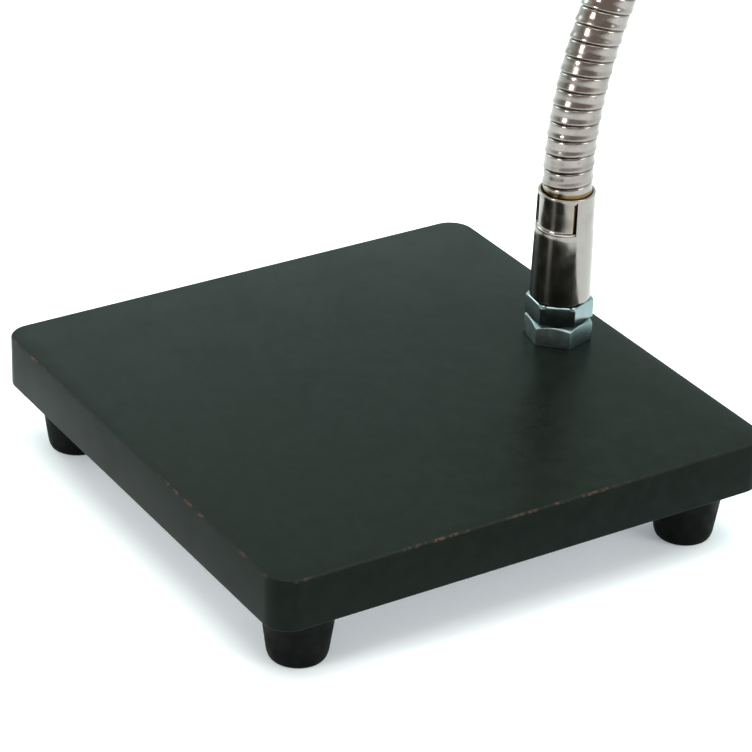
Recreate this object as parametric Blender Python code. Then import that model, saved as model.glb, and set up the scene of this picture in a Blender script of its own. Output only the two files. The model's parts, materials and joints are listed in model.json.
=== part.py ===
"""A gooseneck podium microphone: a square steel base on four rubber feet, a stem of two hexagon nuts and a
ferrule on a hollow threaded nipple, a stripwound neck built as a chain of ball-and-socket links, and a slim
microphone head. Metres, +Z up. The origin is on the table, under the centre of the base, and -Y is the front.

Heights here are measured from the slab's flat underside. Everything is parented to an empty that stands at
that height above the table, which is where the feet lift it."""

import math

import bmesh
import bpy
from mathutils import Matrix, Vector

MM = 0.001
GAP = 0.3 * MM  # clearance between pieces that touch

# Base slab, its underside pocket and the sheet that closes it
BASE_SIDE = 150.0 * MM
BASE_THICKNESS = 14.5 * MM
BASE_CORNER_RADIUS = 7.0 * MM
BASE_EDGE = 0.7 * MM
COVER_SIDE = 142.0 * MM
COVER_THICKNESS = 1.2 * MM
COVER_CORNER_RADIUS = 4.0 * MM
POCKET_LOW = Vector((-14.0, 42.0, 0.0)) * MM
POCKET_HIGH = Vector((38.0, 69.0, 11.5)) * MM

# Feet, each held by a screw and a washer
FOOT_OFFSET = 60.0 * MM
FOOT_HEIGHT = 17.8 * MM
FOOT_TOP_RADIUS = 10.2 * MM
FOOT_BOTTOM_RADIUS = 7.8 * MM
FOOT_FLOOR = 5.5 * MM  # rubber left above the screw's recess
FOOT_RECESS_RADIUS = 5.2 * MM
SCREW_RADIUS = 2.0 * MM
SCREW_TIP = 8.5 * MM
SCREW_HEAD_RADIUS = 3.8 * MM
SCREW_HEAD_HEIGHT = 2.6 * MM
WASHER_RADIUS = 4.6 * MM
WASHER_THICKNESS = 1.0 * MM

# Stem
NECK_Y = 58.5 * MM
NIPPLE_RADIUS = 4.85 * MM
NIPPLE_BORE_RADIUS = 3.6 * MM
NIPPLE_BOTTOM = 6.2 * MM
NIPPLE_TOP = 40.5 * MM
LOWER_NUT_FLATS = 16.6 * MM
UPPER_NUT_FLATS = 16.4 * MM
NUT_BORE_RADIUS = 5.15 * MM
LOWER_NUT = (BASE_THICKNESS + 0.05 * MM, BASE_THICKNESS + 6.1 * MM)
UPPER_NUT = (BASE_THICKNESS + 6.4 * MM, BASE_THICKNESS + 12.5 * MM)
LOWER_NUT_TURN = math.radians(45.0)  # direction of one corner
UPPER_NUT_TURN = math.radians(52.0)
NUT_CHAMFER = math.radians(30)
UNDER_NUT = (6.6 * MM, 9.9 * MM)
UNDER_WASHER = (10.2 * MM, 11.2 * MM)
UNDER_WASHER_RADIUS = 9.0 * MM
FERRULE_RADIUS = 8.45 * MM
FERRULE_NECK_RADIUS = 7.8 * MM
FERRULE_SHOULDER = (BASE_THICKNESS + 32.7 * MM, BASE_THICKNESS + 33.8 * MM)
FERRULE_BOTTOM = BASE_THICKNESS + 12.8 * MM
FERRULE_TOP = BASE_THICKNESS + 44.6 * MM
FERRULE_BORE_RADIUS = 5.3 * MM
FERRULE_MOUTH_RADIUS = 7.05 * MM
FERRULE_MOUTH_DEPTH = 1.3 * MM
FLAT_DISTANCE = 6.0 * MM  # from the axis to each wrench flat
FLAT_DIRECTION = math.radians(-55.0)
FLAT_BOTTOM = BASE_THICKNESS + 34.0 * MM
FLAT_TOP = BASE_THICKNESS + 42.3 * MM

# Neck: its rest curve is given as (distance along it, curvature), leaning back where the curvature is positive
CURVE_START = 57.6 * MM
CURVATURE = (
    (3.6 * MM, 0.0),
    (4.6 * MM, 1 / 0.136),
    (54.0 * MM, 1 / 0.136),
    (76.0 * MM, -1 / 0.120),
    (228.0 * MM, -1 / 0.120),
    (246.0 * MM, 0.0),
)
CURVE_STEP = 0.25 * MM
JOINT_COUNT = 12
FIRST_JOINT = 8.0 * MM
JOINT_PITCH = 22.5 * MM
LINK_RADIUS = 6.75 * MM
LINK_BORE_RADIUS = 3.0 * MM
BALL_RADIUS = 6.0 * MM
CUP_RADIUS = 6.4 * MM
CUP_RIM = 2.5 * MM  # from the ball's centre to the rim above it
SHOULDER = 2.0 * MM  # from the ball's centre to the shoulder below it
PLUG_RADIUS = 5.0 * MM
PLUG_BOTTOM = 41.4 * MM

# Microphone head, measured along its axis from the last joint
TIP_FERRULE = (9.0 * MM, 27.0 * MM)
TIP_FERRULE_RADIUS = 8.2 * MM
TIP_FERRULE_FLOOR = 15.0 * MM
TIP_PLUG_END = 22.0 * MM
BARREL_START = 27.3 * MM
BARREL_TAPER_END = 37.0 * MM
BARREL_END = 86.8 * MM
BARREL_BACK_RADIUS = 8.8 * MM
BARREL_RADIUS = 10.5 * MM
BARREL_WALL = 1.3 * MM
BARREL_BACK_WALL = 3.0 * MM
RING = (BARREL_END + GAP, BARREL_END + 4.2 * MM)
RING_RADIUS = 11.2 * MM
GRILLE_START = RING[1] + GAP
GRILLE_SHOULDER = GRILLE_START + 20.5 * MM  # where the dome begins
GRILLE_RADIUS = 11.2 * MM
GRILLE_WALL = 0.8 * MM
FOAM_WALL = 1.6 * MM
CAPSULE = (GRILLE_START + 2.5 * MM, GRILLE_START + 11.5 * MM)
CAPSULE_RADIUS = 6.6 * MM
CAPSULE_MOUNT = (GRILLE_START + 1.5 * MM, GRILLE_START + 9.0 * MM)
CAPSULE_MOUNT_RADIUS = 8.1 * MM
BOARD = Vector((13.0, 1.6, 38.0)) * MM
BOARD_START = 38.0 * MM

# Inlet in the rear edge, and the lead from it to the head's board
INLET_X = 30.0 * MM
INLET_Z = 7.6 * MM
INLET_BORE_RADIUS = 4.9 * MM
INLET_SHELL_RADIUS = 4.6 * MM
INLET_MOUTH_RADIUS = 3.8 * MM
INLET_FLANGE_RADIUS = 5.3 * MM
INLET_FLANGE = 1.2 * MM
INLET_DEPTH = 13.0 * MM
INSULATOR_THICKNESS = 3.0 * MM
PIN_RADIUS = 0.55 * MM
PIN_CIRCLE_RADIUS = 2.0 * MM
PIN_REACH = 7.5 * MM
PIN_HOLE_RADIUS = PIN_RADIUS + 0.25 * MM
LEAD_RADIUS = 1.3 * MM
LEAD_START = (
    Vector((30.0, 60.2, 7.6)),
    Vector((30.0, 55.0, 7.4)),
    Vector((26.5, 49.5, 6.4)),
    Vector((19.5, 47.0, 4.8)),
    Vector((12.0, 49.0, 3.5)),
    Vector((5.5, 54.0, 3.0)),
    Vector((1.5, 57.3, 4.6)),
    Vector((0.0, 58.5, 9.5)),
    Vector((0.0, 58.5, 16.0)),
)
LEAD_STEM_HEIGHTS = (30.0 * MM, 46.0 * MM)  # on the stem's axis, between the start and the first joint
LEAD_HEAD_SHARE = 0.45  # of the way from the last joint to the board, one point in between
LEAD_END_GAP = 2.0 * MM

FINE = 24  # segments round a turned piece
COARSE = 16

PAINT = ("black_paint", (0.016, 0.019, 0.019), 0.38, 0.0)
ZINC = ("zinc_plate", (0.62, 0.66, 0.67), 0.28, 1.0)
STEEL = ("plain_steel", (0.45, 0.45, 0.46), 0.35, 1.0)
CHROME = ("chrome_plate", (0.78, 0.77, 0.76), 0.12, 1.0)
RUBBER = ("foot_rubber", (0.012, 0.012, 0.013), 0.75, 0.0)
BARREL_PAINT = ("barrel_coat", (0.020, 0.020, 0.022), 0.45, 0.0)
MESH = ("grille_wire", (0.035, 0.035, 0.038), 0.40, 0.8)
FOAM = ("grey_foam", (0.05, 0.05, 0.052), 0.95, 0.0)
CAPSULE_METAL = ("capsule_shell", (0.66, 0.60, 0.44), 0.30, 1.0)
SILICONE = ("capsule_rubber", (0.03, 0.03, 0.032), 0.70, 0.0)
BOARD_GREEN = ("circuit_board", (0.02, 0.13, 0.05), 0.45, 0.0)
INSULATION = ("black_insulator", (0.02, 0.02, 0.02), 0.50, 0.0)
GOLD = ("gold_plate", (0.83, 0.62, 0.26), 0.20, 1.0)
JACKET = ("lead_jacket", (0.03, 0.03, 0.032), 0.60, 0.0)


def clear_scene():
    for obj in list(bpy.data.objects):
        bpy.data.objects.remove(obj, do_unlink=True)


def material(spec):
    """The material of a (name, colour, roughness, metallic) spec, made once."""
    name, colour, roughness, metallic = spec
    made = bpy.data.materials.get(name)
    if made is None:
        made = bpy.data.materials.new(name)
        made.use_nodes = True
        shader = made.node_tree.nodes["Principled BSDF"]
        shader.inputs["Base Color"].default_value = (*colour, 1.0)
        shader.inputs["Roughness"].default_value = roughness
        shader.inputs["Metallic"].default_value = metallic
    return made


def add(name, bm, spec, smooth=True):
    """A new object from a bmesh, with its faces turned outwards."""
    bmesh.ops.recalc_face_normals(bm, faces=bm.faces)
    mesh = bpy.data.meshes.new(name)
    bm.to_mesh(mesh)
    bm.free()
    if smooth:
        mesh.shade_smooth()
        mesh.set_sharp_from_angle(angle=math.radians(40))
    obj = bpy.data.objects.new(name, mesh)
    obj.data.materials.append(material(spec))
    return on_stand(obj)


def on_stand(obj):
    """Links an object into the scene and stands it on the feet's height."""
    stand = bpy.data.objects.get("stand")
    if stand is None:
        stand = bpy.data.objects.new("stand", None)
        stand.location.z = FOOT_HEIGHT
        bpy.context.scene.collection.objects.link(stand)
    bpy.context.scene.collection.objects.link(obj)
    obj.parent = stand
    return obj


def make_cutter(obj):
    obj.hide_render = True
    obj.display_type = "WIRE"
    return obj


def cut(obj, cutter):
    modifier = obj.modifiers.new("cut_" + cutter.name, "BOOLEAN")
    modifier.operation = "DIFFERENCE"
    modifier.solver = "EXACT"
    modifier.object = make_cutter(cutter)


def turned_bmesh(outline, segments, closed):
    """Spins an outline of (radius, height) points round Z. A closed outline makes a bored piece, and an open
    one starts and ends on the axis."""
    bm = bmesh.new()
    points = [bm.verts.new((radius, 0.0, height)) for radius, height in outline]
    edges = [bm.edges.new(pair) for pair in zip(points, points[1:])]
    if closed:
        edges.append(bm.edges.new((points[-1], points[0])))
    bmesh.ops.spin(
        bm,
        geom=points + edges,
        cent=(0, 0, 0),
        axis=(0, 0, 1),
        angle=math.tau,
        steps=segments,
        use_merge=True,
    )
    bmesh.ops.remove_doubles(bm, verts=bm.verts, dist=1e-6)
    return bm


def turned(name, outline, spec, segments=FINE, closed=True):
    return add(name, turned_bmesh(outline, segments, closed), spec)


def arc(radius, start, end, steps, height=0.0):
    """Points (r, z) on a circle about (0, height), angles in radians up from the equator."""
    angles = [start + (end - start) * i / steps for i in range(steps + 1)]
    return [(radius * math.cos(a), height + radius * math.sin(a)) for a in angles]


def tube_outline(inner, outer, low, high, edge=0.0):
    """A plain ring with its outer edges chamfered."""
    outline = [(inner, low), (outer - edge, low)]
    if edge:
        outline += [(outer, low + edge), (outer, high - edge)]
    else:
        outline += [(outer, high)]
        return outline + [(inner, high)]
    return outline + [(outer - edge, high), (inner, high)]


def rounded_square(side, radius, low, high, steps=5):
    """A square slab with round corners, centred on Z."""
    bm = bmesh.new()
    reach = side / 2 - radius
    ring = []
    for corner in range(4):
        middle = math.radians(45 + 90 * corner)
        centre = Vector((math.copysign(reach, math.cos(middle)), math.copysign(reach, math.sin(middle)), low))
        for step in range(steps + 1):
            angle = middle + math.radians(-45 + 90 * step / steps)
            ring.append(bm.verts.new(centre + radius * Vector((math.cos(angle), math.sin(angle), 0))))
    face = bm.faces.new(ring)
    extruded = bmesh.ops.extrude_face_region(bm, geom=[face])
    top = [item for item in extruded["geom"] if isinstance(item, bmesh.types.BMVert)]
    bmesh.ops.translate(bm, verts=top, vec=(0, 0, high - low))
    return bm


def box_bmesh(low, high):
    bm = bmesh.new()
    bmesh.ops.create_cube(bm, size=1.0)
    bmesh.ops.scale(bm, vec=high - low, verts=bm.verts)
    bmesh.ops.translate(bm, vec=(high + low) / 2, verts=bm.verts)
    return bm


def rod(name, radius, low, high, spec=STEEL, segments=FINE):
    """A solid cylinder on Z."""
    return turned(name, [(0, low), (radius, low), (radius, high), (0, high)], spec, segments, closed=False)


def curve_points():
    """The neck's rest curve as (distance, y, z, lean) rows, a straight run past its last bend included."""
    length = FIRST_JOINT + JOINT_COUNT * JOINT_PITCH
    rows = [(0.0, NECK_Y, CURVE_START, 0.0)]
    while rows[-1][0] < length:
        distance, y, z, lean = rows[-1]
        middle = lean + curvature(distance) * CURVE_STEP / 2
        y += math.sin(middle) * CURVE_STEP
        z += math.cos(middle) * CURVE_STEP
        lean += curvature(distance + CURVE_STEP / 2) * CURVE_STEP
        rows.append((distance + CURVE_STEP, y, z, lean))
    return rows


def curvature(distance):
    if distance <= CURVATURE[0][0]:
        return CURVATURE[0][1]
    for (start, first), (end, second) in zip(CURVATURE, CURVATURE[1:]):
        if distance <= end:
            return first + (second - first) * (distance - start) / (end - start)
    return CURVATURE[-1][1]


def joint_places(rows):
    """Each ball's centre, from the ferrule to the head."""
    places = []
    for number in range(JOINT_COUNT):
        row = rows[round((FIRST_JOINT + number * JOINT_PITCH) / CURVE_STEP)]
        places.append(Vector((0.0, row[1], row[2])))
    return places


def frame_at(place, direction):
    """A matrix that carries +Z to a direction in the YZ plane, at a place."""
    return Matrix.Translation(place) @ Vector((0, 0, 1)).rotation_difference(direction).to_matrix().to_4x4()


def build_base():
    base = add("base_plate", rounded_square(BASE_SIDE, BASE_CORNER_RADIUS, 0.0, BASE_THICKNESS), PAINT)
    bevel = base.modifiers.new("edges", "BEVEL")
    bevel.width = BASE_EDGE
    bevel.segments = 1
    bevel.limit_method = "ANGLE"
    bevel.angle_limit = math.radians(60)
    past = 3.0 * MM
    recess = rounded_square(
        COVER_SIDE + 2 * GAP, COVER_CORNER_RADIUS + GAP, -past, COVER_THICKNESS + GAP, steps=3
    )
    cut(base, add("recess_cutter", recess, STEEL))
    cut(base, add("pocket_cutter", box_bmesh(POCKET_LOW - Vector((0, 0, past)), POCKET_HIGH), STEEL))
    stem_hole = rod("stem_hole_cutter", NUT_BORE_RADIUS, 0.0, BASE_THICKNESS + past)
    stem_hole.location.y = NECK_Y
    cut(base, stem_hole)
    inlet_hole = rod("inlet_hole_cutter", INLET_BORE_RADIUS, -past, INLET_DEPTH)
    inlet_hole.location = (INLET_X, BASE_SIDE / 2, INLET_Z)
    inlet_hole.rotation_euler.x = math.radians(90)
    cut(base, inlet_hole)
    cover = add(
        "bottom_cover", rounded_square(COVER_SIDE, COVER_CORNER_RADIUS, 0.0, COVER_THICKNESS, steps=3), STEEL
    )
    hole_radius = SCREW_RADIUS + GAP
    for name, x, y in foot_places():
        hole = rod(name + "_hole_cutter", hole_radius, -past, SCREW_TIP + 1.0 * MM, segments=COARSE)
        hole.location = (x, y, 0)
        cut(base, hole)
        cut(cover, hole)


def foot_places():
    for depth_name, depth in (("front", -1), ("rear", 1)):
        for side_name, side in (("left", -1), ("right", 1)):
            yield f"{depth_name}_{side_name}", side * FOOT_OFFSET, depth * FOOT_OFFSET


def build_feet():
    recess_top = -GAP - FOOT_FLOOR
    hole = SCREW_RADIUS + GAP
    round_edge = 1.2 * MM
    foot = [
        (hole, -GAP),
        (FOOT_TOP_RADIUS, -GAP),
        (FOOT_BOTTOM_RADIUS + 0.1 * MM, -FOOT_HEIGHT + round_edge),
        (FOOT_BOTTOM_RADIUS - round_edge, -FOOT_HEIGHT),
        (FOOT_RECESS_RADIUS, -FOOT_HEIGHT),
        (FOOT_RECESS_RADIUS, recess_top),
        (hole, recess_top),
    ]
    washer_top = recess_top - GAP
    washer = tube_outline(hole, WASHER_RADIUS, washer_top - WASHER_THICKNESS, washer_top)
    head_top = washer_top - WASHER_THICKNESS - GAP
    head_low = head_top - SCREW_HEAD_HEIGHT
    screw = [
        (0.0, SCREW_TIP),
        (SCREW_RADIUS, SCREW_TIP),
        (SCREW_RADIUS, head_top),
        (SCREW_HEAD_RADIUS, head_top),
        (SCREW_HEAD_RADIUS, head_low + SCREW_HEAD_HEIGHT / 2),
        (SCREW_HEAD_RADIUS * 0.75, head_low),
        (0.0, head_low),
    ]
    for name, x, y in foot_places():
        place = (x, y, 0)
        turned("foot_" + name, foot, RUBBER).location = place
        turned("foot_washer_" + name, washer, ZINC, 12).location = place
        turned("foot_screw_" + name, screw, ZINC, COARSE, closed=False).location = place


def hex_nut(name, heights, across_flats, turn, spec, both_faces=False):
    """A hexagon nut on the stem's axis: a hexagonal prism cut by its chamfer cones and its bore."""
    low, high = heights
    bm = bmesh.new()
    corner = across_flats / math.sqrt(3)
    bmesh.ops.create_cone(
        bm,
        cap_ends=True,
        segments=6,
        radius1=corner,
        radius2=corner,
        depth=high - low,
        matrix=Matrix.Translation((0, 0, (high + low) / 2)) @ Matrix.Rotation(turn, 4, "Z"),
    )
    nut = add(name, bm, spec)
    nut.location.y = NECK_Y
    bore = rod(name + "_bore_cutter", NUT_BORE_RADIUS, low - 2 * MM, high + 2 * MM)
    bore.location.y = NECK_Y
    cut(nut, bore)
    inner = across_flats / 2 * 0.96
    outer = corner * 1.3
    rise = (outer - inner) * math.tan(NUT_CHAMFER)
    faces = [(high, 1)]
    if both_faces:
        faces.append((low, -1))
    for face, way in faces:
        cone = [
            (inner, face),
            (outer, face - way * rise),
            (outer, face + way * 2 * MM),
            (inner, face + way * 2 * MM),
        ]
        side = "top" if way > 0 else "bottom"
        chamfer = turned(f"{name}_{side}_chamfer_cutter", cone, spec)
        chamfer.location.y = NECK_Y
        cut(nut, chamfer)


def build_stem():
    nipple = turned(
        "threaded_nipple",
        tube_outline(NIPPLE_BORE_RADIUS, NIPPLE_RADIUS, NIPPLE_BOTTOM, NIPPLE_TOP, 0.5 * MM),
        ZINC,
    )
    nipple.location.y = NECK_Y
    hex_nut("base_nut", LOWER_NUT, LOWER_NUT_FLATS, LOWER_NUT_TURN, ZINC)
    hex_nut("lock_nut", UPPER_NUT, UPPER_NUT_FLATS, UPPER_NUT_TURN, ZINC, both_faces=True)
    hex_nut("under_nut", UNDER_NUT, LOWER_NUT_FLATS, 0.0, ZINC)
    washer = turned("under_washer", tube_outline(NUT_BORE_RADIUS, UNDER_WASHER_RADIUS, *UNDER_WASHER), ZINC)
    washer.location.y = NECK_Y

    mouth_floor = FERRULE_TOP - FERRULE_MOUTH_DEPTH
    edge = 0.5 * MM
    outline = [
        (FERRULE_BORE_RADIUS, FERRULE_BOTTOM),
        (FERRULE_RADIUS - edge, FERRULE_BOTTOM),
        (FERRULE_RADIUS, FERRULE_BOTTOM + edge),
        (FERRULE_RADIUS, FERRULE_SHOULDER[0]),
        (FERRULE_NECK_RADIUS, FERRULE_SHOULDER[1]),
        (FERRULE_NECK_RADIUS, FERRULE_TOP - edge / 2),
        (FERRULE_NECK_RADIUS - edge / 2, FERRULE_TOP),
        (FERRULE_MOUTH_RADIUS, FERRULE_TOP),
        (FERRULE_MOUTH_RADIUS, mouth_floor),
        (FERRULE_BORE_RADIUS, mouth_floor),
    ]
    ferrule = turned("lower_ferrule", outline, CHROME, segments=32)
    ferrule.location.y = NECK_Y
    reach = 2 * FERRULE_RADIUS
    for number, turn in enumerate((0.0, math.pi)):
        slab = box_bmesh(Vector((FLAT_DISTANCE, -reach, FLAT_BOTTOM)), Vector((reach, reach, FLAT_TOP)))
        cutter = add(f"flat_cutter_{number}", slab, STEEL)
        cutter.location.y = NECK_Y
        cutter.rotation_euler.z = FLAT_DIRECTION + turn
        cut(ferrule, cutter)


def ball_end(height):
    """The outline of a link's upper end: shoulder, ball and the bore's mouth, about a ball centred at height."""
    low = -math.asin(SHOULDER / BALL_RADIUS)
    top = math.acos(LINK_BORE_RADIUS / BALL_RADIUS)
    return [(LINK_RADIUS, height - SHOULDER)] + arc(BALL_RADIUS, low, top, 4, height)


def cup_end():
    """The outline of a link's lower end, from the bore down round the cup to its outer rim."""
    top = math.acos(LINK_BORE_RADIUS / CUP_RADIUS)
    low = math.asin(CUP_RIM / CUP_RADIUS)
    return arc(CUP_RADIUS, top, low, 3) + [(LINK_RADIUS, CUP_RIM)]


def build_neck(places, head_direction):
    root_ball = places[0].z
    mouth_floor = FERRULE_TOP - FERRULE_MOUTH_DEPTH
    plug = [
        (LINK_BORE_RADIUS, PLUG_BOTTOM),
        (PLUG_RADIUS, PLUG_BOTTOM),
        (PLUG_RADIUS, mouth_floor + GAP),
        (LINK_RADIUS, mouth_floor + GAP),
    ]
    first = turned("neck_link_01", plug + ball_end(root_ball), CHROME, COARSE)
    first.location.y = NECK_Y
    for number, (place, after) in enumerate(zip(places, places[1:]), start=2):
        reach = after - place
        link = turned(f"neck_link_{number:02d}", cup_end() + ball_end(reach.length), CHROME, COARSE)
        link.matrix_local = frame_at(place, reach.normalized())
    shoulder = TIP_FERRULE_FLOOR - GAP
    tip = [
        (LINK_RADIUS, shoulder),
        (PLUG_RADIUS, shoulder),
        (PLUG_RADIUS, TIP_PLUG_END),
        (LINK_BORE_RADIUS, TIP_PLUG_END),
    ]
    last = turned(f"neck_link_{JOINT_COUNT + 1:02d}", cup_end() + tip, CHROME, COARSE)
    last.matrix_local = frame_at(places[-1], head_direction)


def dome(name, radius, start, shoulder, wall, spec):
    """A shell with a hemispherical end, open at its start."""
    inner = radius - wall
    inside = [(0.0, shoulder + inner)] + arc(inner, math.radians(72), 0.0, 4, shoulder) + [(inner, start)]
    outside = [(radius, start)] + arc(radius, 0.0, math.radians(72), 4, shoulder) + [(0.0, shoulder + radius)]
    return turned(name, inside + outside, spec, closed=False)


def build_head(place, direction):
    matrix = frame_at(place, direction)
    start, end = TIP_FERRULE
    mouth = FERRULE_MOUTH_RADIUS
    edge = 0.5 * MM
    pieces = [
        turned(
            "upper_ferrule",
            [
                (mouth, start),
                (TIP_FERRULE_RADIUS - edge, start),
                (TIP_FERRULE_RADIUS, start + edge),
                (TIP_FERRULE_RADIUS, end),
                (FERRULE_BORE_RADIUS, end),
                (FERRULE_BORE_RADIUS, TIP_FERRULE_FLOOR),
                (mouth, TIP_FERRULE_FLOOR),
            ],
            CHROME,
        ),
        turned(
            "mic_barrel",
            [
                (LINK_BORE_RADIUS, BARREL_START),
                (BARREL_BACK_RADIUS, BARREL_START),
                (BARREL_RADIUS, BARREL_TAPER_END),
                (BARREL_RADIUS, BARREL_END),
                (BARREL_RADIUS - BARREL_WALL, BARREL_END),
                (BARREL_RADIUS - BARREL_WALL, BARREL_TAPER_END),
                (BARREL_BACK_RADIUS - BARREL_WALL, BARREL_START + BARREL_BACK_WALL),
                (LINK_BORE_RADIUS, BARREL_START + BARREL_BACK_WALL),
            ],
            BARREL_PAINT,
        ),
        turned("grille_ring", tube_outline(BARREL_RADIUS - BARREL_WALL, RING_RADIUS, *RING, 0.4 * MM), CHROME),
        dome("grille", GRILLE_RADIUS, GRILLE_START, GRILLE_SHOULDER, GRILLE_WALL, MESH),
    ]
    foam_radius = GRILLE_RADIUS - GRILLE_WALL - GAP
    foam_start = GRILLE_START + 2.0 * MM
    pieces.append(dome("foam_liner", foam_radius, foam_start, GRILLE_SHOULDER, FOAM_WALL, FOAM))
    pieces.append(
        turned(
            "capsule_mount",
            tube_outline(CAPSULE_RADIUS + GAP, CAPSULE_MOUNT_RADIUS, *CAPSULE_MOUNT, 0.4 * MM),
            SILICONE,
        )
    )
    pieces.append(rod("capsule", CAPSULE_RADIUS, *CAPSULE, CAPSULE_METAL))
    board_low = Vector((-BOARD.x / 2, -BOARD.y / 2, BOARD_START))
    pieces.append(add("preamp_board", box_bmesh(board_low, board_low + BOARD), BOARD_GREEN))
    for piece in pieces:
        piece.matrix_local = matrix


def build_inlet():
    """A round three-pin socket screwed into the rear edge, its axis along +Y."""
    matrix = Matrix.Translation((INLET_X, BASE_SIDE / 2, INLET_Z)) @ Matrix.Rotation(math.radians(-90), 4, "X")
    flange_back = GAP
    back = INLET_FLANGE + flange_back - INLET_DEPTH
    shell = turned(
        "inlet_shell",
        [
            (INLET_MOUTH_RADIUS, back),
            (INLET_SHELL_RADIUS, back),
            (INLET_SHELL_RADIUS, flange_back),
            (INLET_FLANGE_RADIUS, flange_back),
            (INLET_FLANGE_RADIUS, flange_back + INLET_FLANGE),
            (INLET_MOUTH_RADIUS, flange_back + INLET_FLANGE),
        ],
        ZINC,
    )
    shell.matrix_local = matrix
    insulator = rod("inlet_insulator", INLET_MOUTH_RADIUS - GAP, back, back + INSULATOR_THICKNESS, INSULATION)
    insulator.matrix_local = matrix
    for number in range(3):
        angle = math.radians(90 + 120 * number)
        offset = PIN_CIRCLE_RADIUS * Vector((math.cos(angle), math.sin(angle), 0))
        place = matrix @ Matrix.Translation(offset)
        hole = rod(
            f"pin_hole_cutter_{number + 1}",
            PIN_HOLE_RADIUS,
            back - 1 * MM,
            back + INSULATOR_THICKNESS + 1 * MM,
            segments=8,
        )
        hole.matrix_local = place
        cut(insulator, hole)
        pin = rod(f"inlet_pin_{number + 1}", PIN_RADIUS, back - 0.8 * MM, back + PIN_REACH, GOLD, segments=8)
        pin.matrix_local = place


def smooth_route(points, steps):
    """Catmull-Rom points through a route's own points."""
    ends = [2 * points[0] - points[1]] + points + [2 * points[-1] - points[-2]]
    route = []
    for a, b, c, d in zip(ends, ends[1:], ends[2:], ends[3:]):
        for step in range(steps):
            t = step / steps
            route.append(
                0.5 * (2 * b + (c - a) * t + (2 * a - 5 * b + 4 * c - d) * t**2 + (3 * b - a - 3 * c + d) * t**3)
            )
    return route + [points[-1]]


def build_lead(places, direction):
    """The screened lead from the inlet up through the nipple and the neck to the head's board."""
    points = [point * MM for point in LEAD_START]
    points += [Vector((0, NECK_Y, height)) for height in LEAD_STEM_HEIGHTS]
    points += places
    end = BOARD_START - LEAD_END_GAP
    points += [places[-1] + direction * (end * share) for share in (LEAD_HEAD_SHARE, 1.0)]
    route = smooth_route(points, 2)
    curve = bpy.data.curves.new("neck_lead", "CURVE")
    curve.dimensions = "3D"
    curve.bevel_depth = LEAD_RADIUS
    curve.bevel_resolution = 2
    curve.use_fill_caps = True
    spline = curve.splines.new("POLY")
    spline.points.add(len(route) - 1)
    for point, place in zip(spline.points, route):
        point.co = (*place, 1.0)
    curve.materials.append(material(JACKET))
    on_stand(bpy.data.objects.new("neck_lead", curve))


def main():
    clear_scene()
    rows = curve_points()
    places = joint_places(rows)
    lean = rows[-1][3]
    head_direction = Vector((0.0, math.sin(lean), math.cos(lean)))
    build_base()
    build_feet()
    build_stem()
    build_neck(places, head_direction)
    build_head(places[-1], head_direction)
    build_inlet()
    build_lead(places, head_direction)


main()
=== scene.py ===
"""The looks of the gooseneck podium microphone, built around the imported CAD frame.

The frame gives every place and size: boxes of the CAD nodes and the neck's joints.
Metres, +Z up, table at z = 0.
"""

import json
import math

import bmesh
import bpy
import numpy as np
from mathutils import Matrix, Vector

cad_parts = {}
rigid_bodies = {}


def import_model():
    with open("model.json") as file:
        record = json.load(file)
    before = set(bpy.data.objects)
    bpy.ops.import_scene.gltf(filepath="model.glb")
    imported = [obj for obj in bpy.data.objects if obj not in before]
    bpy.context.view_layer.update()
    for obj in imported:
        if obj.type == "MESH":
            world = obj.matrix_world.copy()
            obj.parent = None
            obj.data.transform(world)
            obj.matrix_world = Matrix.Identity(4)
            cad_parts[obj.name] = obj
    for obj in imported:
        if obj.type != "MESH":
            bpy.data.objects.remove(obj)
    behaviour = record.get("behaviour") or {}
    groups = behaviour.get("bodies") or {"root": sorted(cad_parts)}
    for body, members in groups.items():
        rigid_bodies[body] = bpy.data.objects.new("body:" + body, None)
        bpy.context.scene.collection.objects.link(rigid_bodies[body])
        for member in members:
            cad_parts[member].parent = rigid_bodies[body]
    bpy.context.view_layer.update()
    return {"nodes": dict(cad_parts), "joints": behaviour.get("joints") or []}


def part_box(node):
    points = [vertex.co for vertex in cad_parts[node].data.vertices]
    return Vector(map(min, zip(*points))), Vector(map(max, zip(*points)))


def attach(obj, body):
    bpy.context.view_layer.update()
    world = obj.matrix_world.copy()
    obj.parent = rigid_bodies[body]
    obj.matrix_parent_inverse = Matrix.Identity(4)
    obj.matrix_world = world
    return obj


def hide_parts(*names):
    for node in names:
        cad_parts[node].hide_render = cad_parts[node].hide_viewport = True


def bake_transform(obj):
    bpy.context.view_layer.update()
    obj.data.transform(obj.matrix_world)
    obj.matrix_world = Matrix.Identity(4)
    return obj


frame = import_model()

MM = 0.001
JOINTS = list(frame["joints"])
BODIES = [JOINTS[0]["parent"]] + [joint["child"] for joint in JOINTS]
BASE, HEAD = BODIES[0], BODIES[-1]

# Camera: where it stands round the base, its lens in image widths and the picture's off-centre framing
CAMERA_AZIMUTH = math.radians(57.97)
CAMERA_ELEVATION = math.radians(28.53)
CAMERA_ROLL = math.radians(1.70)
CAMERA_DISTANCE = 885.75 * MM
CAMERA_TARGET = Vector((-35.25, 6.95, 17.8)) * MM
FOCAL_WIDTHS = 4.2085
CAMERA_SHIFT = (0.0603, -0.0087)
SENSOR_MM = 36.0

# Studio: the room is pale on the far side and dark in the direction ROOM_FRONT
FLOOR_HALF_WIDTH = 6.0
ROOM_FRONT = (0.62, -0.78, -0.10)
ROOM_PALE = (1.08, 1.34, 1.26)
ROOM_DARK = (0.42, 0.36, 0.31)
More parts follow.
